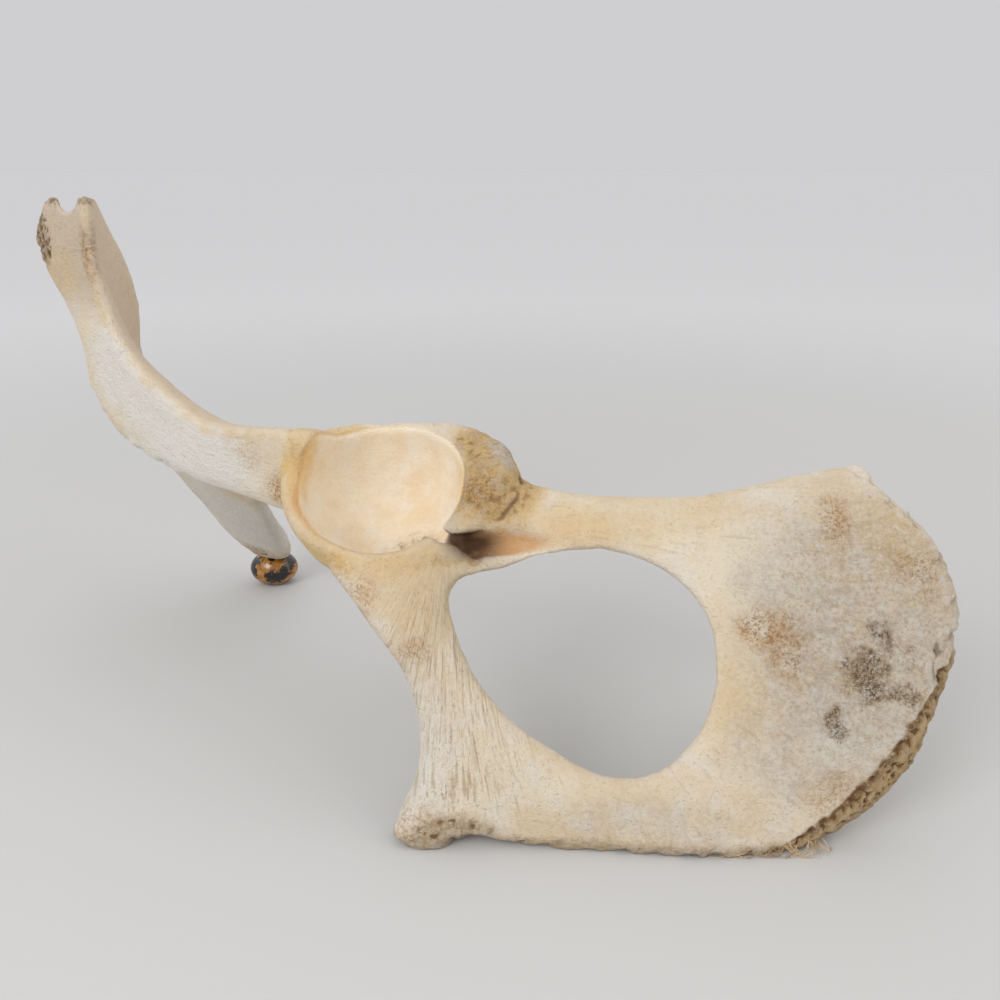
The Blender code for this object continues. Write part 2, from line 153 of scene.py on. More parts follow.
def nearSpot(points, centre, radius):
    # 1 at the centre, fading to 0 at about the radius; a radius may be three numbers
    gap = np.linalg.norm((points - np.array(centre)) / np.array(radius), axis=1)
    return 1 - ramp(gap, 0.35, 1.0)


def alongLine(points, line):
    # distance to a line of points, how far along it the nearest place is, and that place
    line = np.array(line, float)
    best = np.full(len(points), 1e9)
    run, place, start = np.zeros(len(points)), np.zeros_like(points), 0.0
    for a, b in zip(line[:-1], line[1:]):
        span = b - a
        length = np.linalg.norm(span)
        t = np.clip((points - a) @ span / length**2, 0, 1)
        foot = a + t[:, None] * span
        gap = np.linalg.norm(points - foot, axis=1)
        closer = gap < best
        best = np.where(closer, gap, best)
        run = np.where(closer, start + t * length, run)
        place = np.where(closer[:, None], foot, place)
        start += length
    return best, run, place


# Meshes

def meshArrays(obj):
    mesh = obj.data
    co = np.zeros(len(mesh.vertices) * 3)
    mesh.vertices.foreach_get("co", co)
    normal = np.zeros(len(mesh.vertices) * 3)
    mesh.vertex_normals.foreach_get("vector", normal)
    return co.reshape(-1, 3), normal.reshape(-1, 3)


def setPoints(obj, co):
    obj.data.vertices.foreach_set("co", np.asarray(co, np.float32).ravel())
    obj.data.update()


def edgeArray(obj):
    ends = np.zeros(len(obj.data.edges) * 2, np.int64)
    obj.data.edges.foreach_get("vertices", ends)
    return ends.reshape(-1, 2)


def evened(co, ends, rounds):
    # each point moves half way to the mean of its neighbours, this many times
    co = co.copy()
    count = np.bincount(ends.ravel(), minlength=len(co)).astype(float)[:, None]
    for _ in range(rounds):
        total = np.zeros_like(co)
        for k in range(3):
            total[:, k] = np.bincount(ends[:, 0], co[ends[:, 1], k], len(co))
            total[:, k] += np.bincount(ends[:, 1], co[ends[:, 0], k], len(co))
        co += 0.5 * (total / np.maximum(count, 1) - co)
    return co


def remesh(obj, voxel):
    # an even skin of small faces over the same shape
    modifier = obj.modifiers.new("evenSkin", "REMESH")
    modifier.mode, modifier.voxel_size = "VOXEL", voxel
    graph = bpy.context.evaluated_depsgraph_get()
    mesh = bpy.data.meshes.new_from_object(obj.evaluated_get(graph))
    obj.modifiers.clear()
    obj.data = mesh


def copyOfNode(nodeName, newName):
    piece = bpy.data.objects.new(newName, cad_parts[nodeName].data.copy())
    piece.data.name = newName
    piece.data.materials.clear()
    scene.collection.objects.link(piece)
    return piece


def saveField(obj, name, values):
    layer = obj.data.attributes.new(name, "FLOAT", "POINT")
    layer.data.foreach_set("value", np.asarray(values, np.float32))


# The bone's shape

# places and depths are in mm unless a note says otherwise
boneShape = {
    "voxel": 0.00125,  # m
    "facetRounds": 9,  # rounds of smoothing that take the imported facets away
    "floorBand": 0.0006,  # m, points lower than this stay level while the rest is smoothed
    "socketCentre": (-50.0, 85.0, 122.5),
    "socketRadius": 34.5,
    "windowMiddle": (31.0, 0.0, 68.0),  # the tail border's notches point to it
    "grainHub": (-22.0, 118.0),  # x and z of the place that the fibres fan out from
    "barStart": -88.0,  # x past which they follow the bar of the ilium
    "unevenness": 0.5,
    "dimples": 0.2,
    "striationDepth": 0.46,
    "plateGrain": 0.35,
    "tipSwell": 1.1,
    "spongeDepth": 2.2,  # broken tip
    "seamRoughness": 0.9,
    "seamLift": 1.9,  # how far the ragged foot of the seam rises between its contacts
    "borderCrumble": 0.7,
    "borderNotches": 2.8,  # notches in the tail border
    "creaseDepth": 1.1,  # dark crease under the crisp tail border
    "stripWidth": 2.6,  # how much wider the spongy strip behind it is where it is widest
    "stripWide": (96, 122, 172, 196),  # along the border, where it widens and narrows again
    "stripRun": (84, 100, 192, 203),  # along the border, where it starts and ends
    "stripDepth": 1.5,  # holes of that strip
    "lobeRoughness": 1.0,
    "lobeCrack": 1.5,
    "rimSwell": 0.5,
    "rimLine": 0.6,
    "fossaRoughness": 0.7,
    "barTeeth": 1.3,
    "poreField": (8, 0.35),  # rounds of smoothing and depth that show the pores and cracks
    "bowlField": (60, 3.0),  # the same for the wide hollows
}
boneLines = {
    "tailBorder": [(154, 90, 130), (159, 78, 125), (168, 70, 116), (176, 60, 105), (181, 50, 94),
                   (182, 40, 83), (178, 33, 73), (170, 26, 61), (162, 20, 49), (152, 14, 37),
                   (140, 9, 25), (128, 6, 14), (112, 3, 7), (99, 2, 3)],
    "ridge": [(-193, 164, 238), (-194, 163, 207), (-189, 159, 184), (-168, 145, 157),
              (-134, 121, 139), (-112, 106, 141), (-85, 89, 143)],
    "barMiddle": [(-66, 84, 122), (-88, 89, 125), (-113, 106, 126), (-141, 126, 126),
                  (-162, 141, 132), (-181, 153, 143), (-193, 162, 157), (-198, 166, 175),
                  (-205, 171, 193), (-211, 176, 212), (-207, 174, 240)],
    "barLowEdge": [(-205, 171, 146), (-194, 163, 129), (-176, 150, 117), (-160, 140, 113),
                   (-148, 131, 110)],
    "grooveFloor": [(-24, 66, 102), (-12, 61, 103), (0, 60, 105), (12, 58, 106), (24, 56, 106)],
    "lobeEdge": [(-18, 66, 107), (-8, 65, 110.5), (0, 66, 115), (6, 73, 120), (9, 83, 126),
                 (12, 94, 132)],
    "rimOuter": [(-90, 97, 146), (-89, 90, 140), (-89, 85, 125), (-82, 67, 114), (-70, 56, 108)],
}
# places that differ from the plain skin: middle and radii
boneSpots = {
    "foot": ((-18, 6, 6), (24, 22, 13)),
    "brokenTip": ((-228, 187, 219), (13, 18, 20)),
    "wingEnd": ((-143, 262, 26), (26, 22, 20)),
    "lobe": ((-4, 86, 129), (29, 38, 36)),
    "rimStain": ((-85, 78, 116), (16, 30, 32)),
    "fossa": ((-38, 86, 92), (20, 22, 14)),
    # the deep end of the groove under the lobe's lip, where a shadow is painted
    "grooveShadow": ((-15, 64, 104), (22, 20, 9)),
    "pubis": ((-20, 28, 46), (42, 60, 84)),
    "plate": ((150, 40, 72), (86, 70, 90)),
}
# knocks and swellings: middle, radii, and how far the skin moves out
boneKnocks = [
    ((163, 82, 124), (8, 14, 8), -2.2),
    ((158, 86, 130), (4, 10, 4), -1.5),
    ((172, 66, 114), (4, 8, 5), -1.0),
    ((182, 44, 76), (5, 8, 5), -1.2),
    ((110, 96, 126), (6, 8, 5), 0.8),
    ((155, 92, 130), (8, 12, 5), 1.6),
    ((158, 80, 127), (4, 7, 4), -2.4),
    ((168, 72, 118), (3, 7, 4), -1.6),
    ((171, 31, 73), (2.2, 6, 3.6), -1.8),
    ((-30, 54, 106), (12, 10, 7), 0.5),
    ((-20, 55, 106), (7, 9, 7), 2.4),
    ((-10, 52, 102), (5, 8, 6), -1.5),
    ((-12, 4, 2), (13, 9, 6), -2.4),
    ((-41, 8, 5), (6, 6, 6), 0.8),
    ((-8, 82, 124), (14, 14, 12), 0.8),
]


def pastSocket(points):
    # how far a point lies outside the round of the hip socket, in mm
    away = np.linalg.norm(points - np.array(boneShape["socketCentre"]), axis=1)
    return away - boneShape["socketRadius"]


def tailOutward(points, place):
    # how far a point lies past the crisp tail border, down and behind it
    return (points - place) @ np.array((0.6, 0.62, -0.5))


def boneFields(points):
    # masks from 0 to 1 for the places on the bone that differ
    field = {}
    spot = {name: nearSpot(points, *where) for name, where in boneSpots.items()}
    gap, run, place = alongLine(points, boneLines["tailBorder"])
    wide = band(run, *boneShape["stripWide"])
    outward = tailOutward(points, place) + boneShape["stripWidth"] * wide
    lowHalf = band(run, *boneShape["stripRun"])
    field["border"] = 1 - ramp(gap, 2, 9)
    field["strip"] = ramp(outward, 0.6, 2.4) * (1 - ramp(gap, 22, 28)) * lowHalf
    field["crease"] = band(outward, 0.4, 1.6, 2.2, 4.2) * (1 - ramp(gap, 6, 9)) * lowHalf
    low = 1 - ramp(points[:, 2], 2.0, 9)
    field["seam"] = low * (points[:, 1] < 60)
    field["foot"] = spot["foot"]
    gap, _, _ = alongLine(points, boneLines["ridge"])
    field["ridge"] = 1 - ramp(gap, 1.2, 4.5)
    top = ramp(points[:, 2], 232, 237) * (points[:, 0] < -150)
    field["sponge"] = np.clip(np.maximum(0.7 * top, 1.4 * spot["brokenTip"]), 0, 1)
    field["wingEnd"] = spot["wingEnd"]
    past = pastSocket(points)
    field["cup"] = 1 - ramp(np.abs(past), 0.8, 3.0)
    field["lobe"] = np.clip(1.7 * spot["lobe"], 0, 1) * ramp(past, 1.0, 3.5)
    gap, _, place = alongLine(points, boneLines["lobeEdge"])
    lobeSide = (points - place) @ np.array((-0.75, 0.0, 0.65))
    field["lobeCrack"] = (1 - ramp(gap, 0.6, 2.5)) * (1 - ramp(lobeSide, 0.2, 1.4))
    leftRim = 1 - ramp(points[:, 0], -66, -52)
    field["rim"] = band(past, 0.4, 1.6, 9, 13) * leftRim
    wave = 1.6 * smoothNoise(points, 9, 87)
    rimEdge = ramp(past, 0.2, 1.2) * (1 - ramp(past + wave, 1.5, 5.5))
    field["rimEdge"] = rimEdge * spot["rimStain"]
    gap, _, _ = alongLine(points, boneLines["rimOuter"])
    field["rimLine"] = 1 - ramp(gap, 0.8, 2.6)
    field["fossa"] = np.clip(1.5 * spot["fossa"], 0, 1) * field["cup"]
    gap, _, _ = alongLine(points, boneLines["grooveFloor"])
    field["groove"] = 1 - ramp(gap, 6, 13)
    field["grooveShadow"] = spot["grooveShadow"] * field["groove"]
    field["pubis"] = spot["pubis"] * (points[:, 1] < 78)
    gap, _, _ = alongLine(points, boneLines["barLowEdge"])
    field["barTeeth"] = 1 - ramp(gap, 2, 6)
    field["plate"] = spot["plate"] * ramp(points[:, 0], 74, 110)
    field["sameGrain"] = ramp(np.abs(points[:, 0] - boneShape["barStart"]), 2, 10)
    return field


def grainOf(points):
    # places across and along the fibres, in mm
    away = points[:, (0, 2)] - np.array(boneShape["grainHub"])
    reach = np.linalg.norm(away, axis=1)
    across = np.arctan2(away[:, 1], away[:, 0] + 1e-9) * 75
    along = reach.copy()
    gap, run, place = alongLine(points, boneLines["barMiddle"])
    onBar = points[:, 0] < boneShape["barStart"]
    offset = points - place
    barAcross = offset[:, 2] + 0.45 * offset[:, 0] - 0.25 * offset[:, 1]
    across = np.where(onBar, barAcross + 400, across)
    along = np.where(onBar, run, along)
    return across, along


def boneRelief(points, field, across, along):
    # how far each point moves out of the skin, in mm, and how dark the holes are painted, as
    # painted shade in them
    shape = boneShape
    grain = np.stack([across, along / 14, points[:, 1] / 6], axis=1)
    busy = field["sponge"] + field["seam"] + field["strip"] + field["cup"]
    calm = 1 - np.clip(busy, 0, 1)
    rough = layeredNoise(points, 6, 3, 47)
    fine = layeredNoise(points, 3.2, 2, 43)
    holes = spongeHoles(points, 3.4, 31)
    crust = spongeHoles(points, 3.9, 53) * ramp(rough, -0.15, 0.25)
    stripHoles = spongeHoles(points * np.array((1, 0.5, 1)), 3.0, 61)

    push = shape["unevenness"] * layeredNoise(points, 24, 4, 11) * (0.25 + 0.75 * calm)
    push += shape["dimples"] * layeredNoise(points, 5, 2, 17) * (0.3 + 0.7 * calm)
    striae = layeredNoise(grain, 2.8, 2, 23)
    fibrous = 0.25 + 1.0 * field["pubis"] + 0.2 * ramp(-points[:, 0], 80, 110)
    push += shape["striationDepth"] * striae * fibrous * calm * field["sameGrain"]
    push += shape["plateGrain"] * field["plate"] * layeredNoise(points, 3.4, 2, 29)
    # broken tip, seam and tail border
    push += field["sponge"] * (shape["tipSwell"] * rough - shape["spongeDepth"] * holes)
    push += shape["seamRoughness"] * field["seam"] * (1.1 * rough - 0.8 * crust)
    push += field["foot"] * (0.9 * fine - 0.7 * crust)
    stripSwell = 0.6 + 1.2 * rough + 0.5 * fine
    push += field["strip"] * (stripSwell - shape["stripDepth"] * stripHoles)
    push -= shape["creaseDepth"] * field["crease"] * ramp(rough, -0.4, 0.2)
    push += shape["borderCrumble"] * field["border"] * (fine + 0.3)
    # lobe, socket and wing
    lobeGrain = 1.1 * rough + 0.8 * fine - 0.4 * pits(points, 3.4, 0.9, 0.3, 71)
    push += shape["lobeRoughness"] * field["lobe"] * lobeGrain
    push -= shape["lobeCrack"] * field["lobeCrack"]
    push += shape["rimSwell"] * field["rim"] - shape["rimLine"] * field["rimLine"]
    push += shape["fossaRoughness"] * field["fossa"] * (rough - 0.4)
    push += field["wingEnd"] * (0.9 * rough - 0.8 * crust)
    push += shape["barTeeth"] * field["barTeeth"] * layeredNoise(points, 4, 2, 73)
    for centre, radius, out in boneKnocks:
        push += out * nearSpot(points, centre, radius)
    # nothing swells into the floor
    floorCare = ramp(points[:, 2], 0.2, 3.0)
    push *= np.where((points[:, 2] < 4) & (push > 0), floorCare, 1.0)

    # painted shade in the holes of the spongy strip and of the crust by the foot
    stripShade = 0.6 * field["strip"] * ramp(stripHoles, 0.25, 0.8)
    footShade = np.maximum(0.45 * field["foot"], 0.5 * field["seam"]) * ramp(crust, 0.3, 0.8)
    return push, np.maximum.reduce([field["sponge"] * holes, stripShade, footShade])


def raggedEdges(co, points, field):
    # the tail border is notched towards the window, and the seam's foot is ragged
    inward = np.array(boneShape["windowMiddle"]) - points * np.array((1, 0, 1))
    inward /= np.linalg.norm(inward, axis=1)[:, None]
    notch = ramp(layeredNoise(points * np.array((1, 0.6, 1)), 4.6, 2, 77), -0.05, 0.4)
    notch *= boneShape["borderNotches"] * field["border"] * ramp(points[:, 2], 8, 70)
    co += inward * notch[:, None] * 0.001
    lift = ramp(layeredNoise(points * np.array((1, 0.4, 1)), 6, 2, 79), -0.1, 0.45)
    lift *= boneShape["seamLift"] * (1 - ramp(points[:, 2], 1.0, 7.0)) * (points[:, 1] < 60)
    co[:, 2] += lift * 0.001
    co[:, 2] = np.maximum(co[:, 2], 0.0)
    return np.clip(co, cadBox[0], cadBox[1])


def cavities(obj, ends, rounds, depth):
    # from -1 to 1: how far a point lies under its smoothed surroundings; depth is in mm
    co, normal = meshArrays(obj)
    under = ((evened(co, ends, rounds) - co) * normal).sum(axis=1) * 1000
    return np.clip(under / depth, -1, 1)


def shapeBone():
    bone = copyOfNode("hip_bone", "weatheredHipBone")
    remesh(bone, boneShape["voxel"])
    co, _ = meshArrays(bone)
    ends = edgeArray(bone)
    level = co[:, 2].copy()
    onFloor = level < boneShape["floorBand"]
    co = evened(co, ends, boneShape["facetRounds"])
    co[onFloor, 2] = level[onFloor]
    setPoints(bone, co)
    print("bone skin:", len(co), "points")

    co, normal = meshArrays(bone)
    points = (co - seamFoot) * 1000
    field = boneFields(points)
    across, along = grainOf(points)
    push, holeShade = boneRelief(points, field, across, along)
    setPoints(bone, raggedEdges(co + normal * push[:, None] * 0.001, points, field))
    print("bone relief cut")

    _, normal = meshArrays(bone)
    saveField(bone, "holeShade", holeShade)
    saveField(bone, "hollow", cavities(bone, ends, *boneShape["poreField"]))
    saveField(bone, "bowl", cavities(bone, ends, *boneShape["bowlField"]))
    saveField(bone, "grainAcross", across * 0.001)
    saveField(bone, "grainAlong", along * 0.001)
    for name in ("strip", "crease", "seam", "foot", "sponge", "lobe", "lobeCrack", "groove",
                 "grooveShadow", "pubis", "wingEnd", "cup", "rim", "rimEdge", "fossa", "plate",
                 "sameGrain"):
        saveField(bone, name, field[name])
    for name, values in stainFields(points, normal, field).items():
        saveField(bone, name, values)
    bone.data.shade_smooth()
    return bone


# Where the stains are

stainSpots = {
    "ochre": [((-84, 87, 134), (14, 18, 22), 1.0), ((-74, 72, 112), (14, 20, 14), 0.75),
              ((-2, 80, 124), (32, 34, 28), 0.9), ((-38, 55, 104), (40, 18, 18), 0.8),
              ((30, 62, 110), (30, 22, 12), 0.7), ((60, 68, 118), (50, 26, 16), 0.35),
              ((-222, 184, 204), (12, 14, 14), 0.5), ((-209, 174, 203), (14, 14, 16), 0.4),
              ((-30, 45, 85), (20, 20, 26), 0.45), ((5, 40, 70), (30, 30, 60), 0.35),
              ((85, 30, 60), (26, 30, 50), 0.4), ((160, 60, 108), (18, 18, 18), 0.6)],
    "mould": [((144, 27, 62), (19, 18, 15), 0.95), ((139, 29, 67), (18, 17, 13), 0.75),
              ((157, 24, 59), (12, 14, 9), 0.85), ((129, 18, 46), (7, 11, 15), 0.95),
              ((149, 33, 75), (8, 12, 13), 0.85), ((154, 30, 74), (11, 12, 10), 0.6),
              ((171, 31, 73), (3, 7, 5), 1.0), ((160, 30, 71), (11, 12, 8), 0.65),
              ((134, 22, 56), (8, 10, 12), 0.45)],
    "earthAndShade": [((106, 34, 80), (14, 16, 12), 0.85), ((114, 30, 70), (12, 16, 14), 0.7),
              ((139, 62, 115), (9, 14, 14), 0.7), ((-95, 92, 116), (13, 13, 15), 1.0),
              ((-60, 46, 88), (16, 14, 16), 0.65), ((-66, 52, 98), (12, 12, 10), 0.5),
              ((-7, 76, 119), (16, 16, 15), 0.7), ((4, 60, 113), (10, 8, 6), 0.4),
              ((-35, 6, 10), (18, 14, 12), 0.6), ((128, 10, 22), (22, 14, 14), 0.5),
              ((-33, 30, 73), (9, 12, 7), 0.6), ((-114, 105, 133), (20, 16, 12), 0.3),
              ((168, 52, 98), (12, 16, 12), 0.6), ((163, 58, 100), (10, 14, 8), 0.5)],
    "grey": [((140, 38, 72), (44, 42, 46), 0.9), ((120, 16, 40), (42, 30, 34), 0.55),
             ((128, 58, 108), (24, 24, 14), 0.6), ((105, 50, 92), (20, 26, 14), 0.5),
             ((60, 6, 14), (60, 20, 14), 0.3), ((-146, 225, 62), (50, 70, 56), 0.2)],
    # the wide spot at the wing's low corner is painted light that lifts a place lying in shade;
    # the other spots are chalky bone
    "chalkAndLight": [((-140, 130, 124), (66, 60, 30), 1.0), ((-182, 156, 160), (30, 34, 34), 1.0),
              ((-164, 144, 143), (34, 34, 26), 1.0), ((-146, 225, 62), (56, 80, 60), 0.9),
              ((-36, 14, 35), (22, 40, 40), 0.7), ((3, 92, 137), (10, 13, 9), 1.0),
              ((128, 16, 45), (22, 24, 22), 0.5)],
}


def stainFields(points, normal, field):
    wander = np.stack([layeredNoise(points, 12, 3, 80 + k) for k in range(3)], axis=1) * 6
    stains = {}
    for name, spots in stainSpots.items():
        total = np.zeros(len(points))
        for centre, radius, strength in spots:
            total = np.maximum(total, strength * nearSpot(points + wander, centre, radius))
        stains[name] = total
    # the outer side of the wing and the top of the bar are tan, with a dark line at the ridge
    gap, run, place = alongLine(points, boneLines["ridge"])
    over = (points - place) @ np.array((0.62, 0.42, 0.66))
    onWing = ramp(-points[:, 0], 78, 100)
    tanSide = ramp(over, 0.3, 2.0) * onWing * ramp(normal @ np.array((0.75, 0.1, 0.6)), 0.05, 0.4)
    tanSide *= ramp(points[:, 2], 96, 128)
    upperBar = onWing * ramp(points[:, 2], 176, 202) * ramp(-points[:, 0], 150, 170)
    stains["tan"] = np.maximum(tanSide, 0.75 * upperBar)
    stains["dusk"] = upperBar * (1 - ramp(over, 0.0, 3.0))
    stains["ridgeStain"] = field["ridge"] * onWing
    stains["rust"] = (1 - ramp(gap, 2, 7)) * ramp(run, 8, 18) * (1 - ramp(run, 28, 46)) * onWing
    stains["chalkAndLight"] *= 1 - np.clip(stains["tan"], 0, 1)
    return stains


# Materials

class NodeSheet:
    # short ways to lay shader nodes
    def __init__(self, name):
        self.material = bpy.data.materials.new(name)
        self.material.use_nodes = True
        self.nodes = self.material.node_tree.nodes
        self.links = self.material.node_tree.links
        self.nodes.clear()
        output = self.nodes.new("ShaderNodeOutputMaterial")
        self.shader = self.nodes.new("ShaderNodeBsdfPrincipled")
        self.links.new(self.shader.outputs[0], output.inputs[0])
        self.colour = None

    def join(self, source, socket):
        if isinstance(source, bpy.types.NodeSocket):
            self.links.new(source, socket)
        else:
            socket.default_value = source

    def field(self, name):
        node = self.nodes.new("ShaderNodeAttribute")
        node.attribute_name = name
        return node.outputs["Fac"]

    def place(self):
        node = self.nodes.new("ShaderNodeTexCoord")
        return node.outputs["Object"]

    def vector(self, x, y, z):
        node = self.nodes.new("ShaderNodeCombineXYZ")
        for source, socket in zip((x, y, z), node.inputs):
            self.join(source, socket)
        return node.outputs[0]

    def math(self, operation, a, b, clamp=False):
        node = self.nodes.new("ShaderNodeMath")
        node.operation = operation
        node.use_clamp = clamp
        self.join(a, node.inputs[0])
        self.join(b, node.inputs[1])
        return node.outputs[0]

    def plus(self, a, b):
        return self.math("ADD", a, b)

    def times(self, a, b, clamp=False):
        return self.math("MULTIPLY", a, b, clamp)

    def most(self, *values):
        total = values[0]
        for value in values[1:]:
            total = self.math("MAXIMUM", total, value)
        return total

    def noise(self, scale, detail=3.0, roughness=0.55, where=None, distortion=0.0):
        node = self.nodes.new("ShaderNodeTexNoise")
        node.inputs["Scale"].default_value = scale
        node.inputs["Detail"].default_value = detail
        node.inputs["Roughness"].default_value = roughness
        node.inputs["Distortion"].default_value = distortion
        self.links.new(where or self.place(), node.inputs["Vector"])
        return node.outputs["Fac"]

    def cells(self, scale, where=None):
        node = self.nodes.new("ShaderNodeTexVoronoi")
        node.inputs["Scale"].default_value = scale
        self.links.new(where or self.place(), node.inputs["Vector"])
        return node.outputs["Distance"]

    def between(self, value, low, high, fromValue=0.0, toValue=1.0):
        node = self.nodes.new("ShaderNodeMapRange")
        node.interpolation_type = "SMOOTHSTEP"
        self.join(value, node.inputs["Value"])
        node.inputs["From Min"].default_value = low
        node.inputs["From Max"].default_value = high
        node.inputs["To Min"].default_value = fromValue
        node.inputs["To Max"].default_value = toValue
        return node.outputs["Result"]

    def blend(self, share, a, b, mode="MIX"):
        node = self.nodes.new("ShaderNodeMix")
        node.data_type = "RGBA"
        node.blend_type = mode
        self.join(share, node.inputs["Factor"])
        colours = [s for s in node.inputs if s.type == "RGBA"]
        for source, socket in zip((a, b), colours):
            self.join((*source, 1.0) if isinstance(source, tuple) else source, socket)
        return [s for s in node.outputs if s.type == "RGBA"][0]

    def coat(self, share, colour):
        # one more coat of colour over the ones before it
        self.colour = self.blend(share, self.colour, colour)

    def bump(self, height, distance, strength=1.0):
        node = self.nodes.new("ShaderNodeBump")
        node.inputs["Strength"].default_value = strength
        node.inputs["Distance"].default_value = distance
        self.links.new(height, node.inputs["Height"])
        self.links.new(node.outputs[0], self.shader.inputs["Normal"])

    def dress(self, settings):
        # the last coat is the colour, and the settings go on the shader's own sockets
        self.join(self.colour, self.shader.inputs["Base Color"])
        for name, value in settings.items():
            self.shader.inputs[name].default_value = value
        return self.material


boneLook = {
    "cream": (0.72, 0.575, 0.385),
    "pale": (0.79, 0.69, 0.53),
    # chalky white, also used as painted light on the wing's low corner
    "chalkAndLight": (0.77, 0.735, 0.68),
    "ochre": (0.58, 0.35, 0.13),
    "honey": (0.70, 0.475, 0.19),
    "gold": (0.88, 0.60, 0.26),
    "rust": (0.30, 0.12, 0.035),
    # dark earth brown, for earth stains, specks and pores, and for painted shade in holes, the
    # crease and the lobe crack
    "earthAndShade": (0.20, 0.10, 0.04),
    "shadowBrown": (0.085, 0.036, 0.015),
    "mould": (0.12, 0.078, 0.032),
    "grey": (0.50, 0.43, 0.38),
    "tan": (0.70, 0.565, 0.415),
    "dusk": (0.48, 0.385, 0.28),
    "clay": (0.66, 0.37, 0.16),
    "fibreShade": (0.49, 0.345, 0.205),
    "roughness": 0.80,
    "roughnessSpread": 0.12,
    "cupGloss": 0.18,  # how much smoother the socket is
    "specular": 0.35,
    "subsurface": 0.05,
    "subsurfaceReach": (0.003, 0.002, 0.0012),  # m
    "subsurfaceScale": 0.4,
    "bumpDepth": 0.0015,  # m
    # how much of each coat covers the ones under it
    "share": {"dust": 0.45, "chalkAndLight": 0.9, "tan": 0.9, "dusk": 0.6, "ochre": 0.95, "lobe": 0.97,
              "ridge": 0.7, "grey": 0.5, "tuftShade": 0.5, "tuftPale": 0.6, "darkFibre": 0.35,
              "pubisFibre": 0.6, "pubisPale": 0.6, "pubisPores": 0.7, "specks": 0.95,
              "haze": 0.8, "earthGrains": 0.8, "footPores": 0.5, "rust": 0.8,
              "mouldHalo": 0.55, "strip": 0.8, "crest": 0.22, "holeShade": 0.85,
              "lobeCrack": 0.65, "bowl": 0.30},
}


